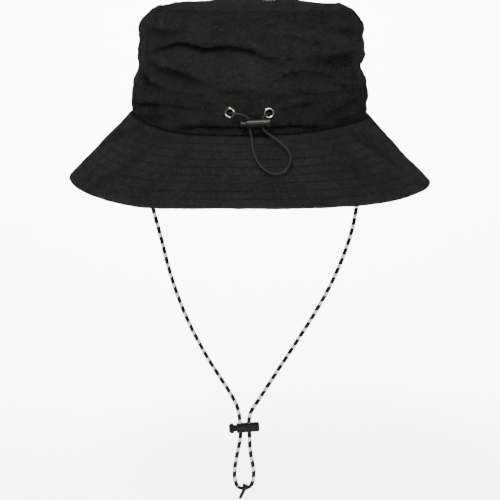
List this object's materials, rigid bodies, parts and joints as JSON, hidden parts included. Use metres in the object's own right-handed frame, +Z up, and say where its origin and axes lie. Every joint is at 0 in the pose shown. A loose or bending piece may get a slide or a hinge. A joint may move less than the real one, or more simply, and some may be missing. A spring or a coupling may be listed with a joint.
{
  "type": "bucket hat",
  "caption": "Soft bucket hat with a gathered crown, stitched sloping brim, elastic drawcord with cord lock at the back, and a braided chin strap with sliding cord lock.",
  "frame": {"origin": "middle of the head opening, in the plane of the seam between casing band and brim", "axes": "+Z up through the crown, +Y towards the face, +X to the right when the hat is seen from behind, where the drawcord is"},
  "size_m": [0.2662, 0.298, 0.3803],
  "materials": {
    "shell_fabric": "black crinkled fine-weave nylon with a faint sheen",
    "lining_fabric": "black smooth lining cloth",
    "interlining": "dark felted stiffening cloth",
    "sweatband_fabric": "black twill tape",
    "label_fabric": "plain woven label, no text",
    "elastic_cord": "dark grey braided cover over rubber",
    "braid_cord": "round braid of black and white yarns",
    "tab_webbing": "black folded ribbon",
    "nickel": "nickel-plated brass, satin",
    "lock_plastic_gloss": "black moulded plastic, half gloss",
    "lock_plastic_matte": "black moulded plastic, fine matt texture",
    "spring_steel": "plain steel wire"
  },
  "bodies": {
    "hat": {"crown_top": "shell_fabric", "crown_side": "shell_fabric", "casing_band": "shell_fabric", "brim_upper": "shell_fabric", "brim_under": "shell_fabric", "brim_interlining": "interlining", "crown_top_lining": "lining_fabric", "crown_side_lining": "lining_fabric", "sweatband": "sweatband_fabric", "size_label": "label_fabric", "eyelet_left": "nickel", "eyelet_right": "nickel", "eyelet_washer_left": "nickel", "eyelet_washer_right": "nickel", "drawcord_in_casing": "elastic_cord", "drawcord_loop": "elastic_cord", "chin_cord_tab_left": "tab_webbing", "chin_cord_tab_right": "tab_webbing"},
    "chin_strap": {"chin_cord_left": "braid_cord", "chin_cord_right": "braid_cord", "chin_cord_end_left": "braid_cord", "chin_cord_end_right": "braid_cord", "chin_cord_knot": "braid_cord"},
    "chin_lock": {"chin_lock_barrel": "lock_plastic_matte", "chin_lock_spring": "spring_steel"},
    "chin_lock_button": {"chin_lock_plunger": "lock_plastic_matte"},
    "drawcord_lock": {"drawcord_lock_barrel": "lock_plastic_gloss", "drawcord_lock_spring": "spring_steel"},
    "drawcord_lock_button": {"drawcord_lock_plunger": "lock_plastic_gloss"}
  },
  "joints": [
    {"name": "chin_strap_swing", "type": "hinge", "parent": "hat", "child": "chin_strap", "pos_m": [0, 0, -0.009], "axis": [1, 0, 0], "range_deg": [-45, 60]},
    {"name": "chin_lock_slide", "type": "slide", "parent": "chin_strap", "child": "chin_lock", "axis": [0, 0, 1], "range_m": [-0.025, 0.08], "deforming": ["chin_cord_left", "chin_cord_right", "chin_cord_end_left", "chin_cord_end_right"]},
    {"name": "chin_lock_press", "type": "slide", "parent": "chin_lock", "child": "chin_lock_button", "axis": [0.9976, 0, 0.0698], "range_m": [0, 0.0018], "stiffness_N_per_m": 400, "springref_m": -0.003, "deforming": ["chin_lock_spring"]},
    {"name": "drawcord_lock_slide", "type": "slide", "parent": "hat", "child": "drawcord_lock", "axis": [0, -0.6919, -0.7219], "range_m": [-0.001, 0.02], "deforming": ["drawcord_loop"]},
    {"name": "drawcord_lock_press", "type": "slide", "parent": "drawcord_lock", "child": "drawcord_lock_button", "axis": [0.9986, 0, 0.0523], "range_m": [0, 0.0018], "stiffness_N_per_m": 300, "springref_m": -0.003, "deforming": ["drawcord_lock_spring"]}
  ]
}
